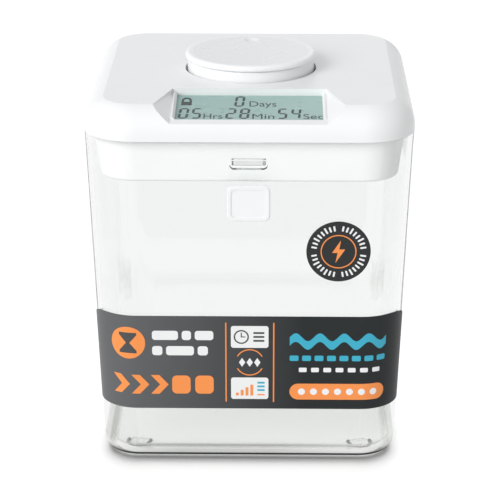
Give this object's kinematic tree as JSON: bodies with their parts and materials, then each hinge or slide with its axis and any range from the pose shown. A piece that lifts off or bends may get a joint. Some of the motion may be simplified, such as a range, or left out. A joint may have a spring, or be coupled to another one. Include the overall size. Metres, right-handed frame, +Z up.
{
  "type": "timed lock container",
  "caption": "Clear tapered square box with a white lid: a push-and-turn dial, a countdown display and motor-driven latch bolts lock it for a set time.",
  "frame": {"origin": "on the ground, under the middle of the box", "axes": "+Z up along the box's height, front with the display at -Y"},
  "size_m": [0.175, 0.1753, 0.2106],
  "materials": {
    "clear_plastic": "polished clear moulding",
    "white_gloss": "gloss moulded white",
    "white_satin": "satin moulded white",
    "dial_white": "gloss moulded white",
    "clear_window": "polished clear window",
    "display_glass": "grey-green display glass",
    "strip_rubber": "striped contact rubber",
    "circuit_board": "solder mask green",
    "chip_black": "moulded black",
    "ribbon_film": "amber film",
    "screw_steel": "plated steel",
    "shaft_steel": "ground steel",
    "motor_can": "plated can",
    "gear_nylon": "natural nylon",
    "pinion_brass": "turned brass",
    "bolt_white": "moulded acetal",
    "cell_wrap": "shrink wrap",
    "contact_nickel": "nickel-plated spring steel",
    "label_print": "satin printed film",
    "sticker_print": "satin printed film",
    "foot_soft": "clear soft pad"
  },
  "bodies": {
    "container": {"container": "clear_plastic", "feet": "foot_soft", "label_band": "label_print", "port_sticker": "sticker_print"},
    "lid": {"lid_shell": "white_gloss", "lid_tray": "white_satin", "display_window": "clear_window", "lcd_panel": "display_glass", "display_frame": "white_satin", "contact_strips": "strip_rubber", "display_board": "circuit_board", "display_screws": "screw_steel", "display_ribbon": "ribbon_film", "main_board": "circuit_board", "board_chips": "chip_black", "board_screws": "screw_steel", "code_sensor": "chip_black", "press_switch": "chip_black", "motor_case": "motor_can", "motor_bracket": "contact_nickel", "bracket_screws": "screw_steel", "gear_axle": "shaft_steel", "axle_clip": "screw_steel", "bolt_guides": "white_satin", "battery_cells": "cell_wrap", "battery_terminals": "contact_nickel", "lid_screws": "screw_steel"},
    "dial_carrier": {"dial_sleeve": "bolt_white", "switch_plunger": "white_satin"},
    "dial": {"dial_cap": "dial_white", "dial_ring": "dial_white", "dial_shaft": "shaft_steel", "code_wheel": "chip_black", "shaft_clip": "screw_steel"},
    "drive_gear": {"drive_gear": "gear_nylon"},
    "motor_rotor": {"motor_pinion": "pinion_brass", "motor_shaft": "shaft_steel"},
    "front_bolt": {"front_bolt": "bolt_white"},
    "rear_bolt": {"rear_bolt": "bolt_white"},
    "battery_door": {"battery_door": "white_satin", "door_screw": "screw_steel"},
    "port_plug": {"port_plug": "white_satin"}
  },
  "joints": [
    {"name": "lid_lift", "type": "slide", "parent": "container", "child": "lid", "axis": [0, 0, 1], "range_m": [0, 0.1]},
    {"name": "dial_press", "type": "slide", "parent": "lid", "child": "dial_carrier", "axis": [0, 0, -1], "range_m": [0, 0.0012], "stiffness_N_per_m": 1500, "springref_m": -0.0012},
    {"name": "dial_turn", "type": "hinge", "parent": "dial_carrier", "child": "dial", "pos_m": [0, 0, 0.2], "axis": [0, 0, 1], "continuous": true},
    {"name": "latch_turn", "type": "hinge", "parent": "lid", "child": "drive_gear", "pos_m": [0, 0, 0.17], "axis": [0, 0, 1], "range_deg": [0, 59.2]},
    {"name": "motor_turn", "type": "hinge", "parent": "lid", "child": "motor_rotor", "pos_m": [0.025, 0, 0.17], "axis": [0, 0, 1], "range_deg": [-237, 0]},
    {"name": "front_bolt_slide", "type": "slide", "parent": "lid", "child": "front_bolt", "axis": [0, -1, 0], "range_m": [0, 0.0062]},
    {"name": "rear_bolt_slide", "type": "slide", "parent": "lid", "child": "rear_bolt", "axis": [0, 1, 0], "range_m": [0, 0.0062]},
    {"name": "battery_door_drop", "type": "slide", "parent": "lid", "child": "battery_door", "axis": [0, 0, -1], "range_m": [0, 0.03]},
    {"name": "port_plug_pull", "type": "slide", "parent": "container", "child": "port_plug", "axis": [0, -0.9991, -0.0421], "range_m": [0, 0.03]}
  ],
  "couplings": [
    {"joint": "motor_turn", "follows": "latch_turn", "ratio": -4},
    {"joint": "front_bolt_slide", "follows": "latch_turn", "m_per_rad": 0.006},
    {"joint": "rear_bolt_slide", "follows": "latch_turn", "m_per_rad": 0.006}
  ]
}
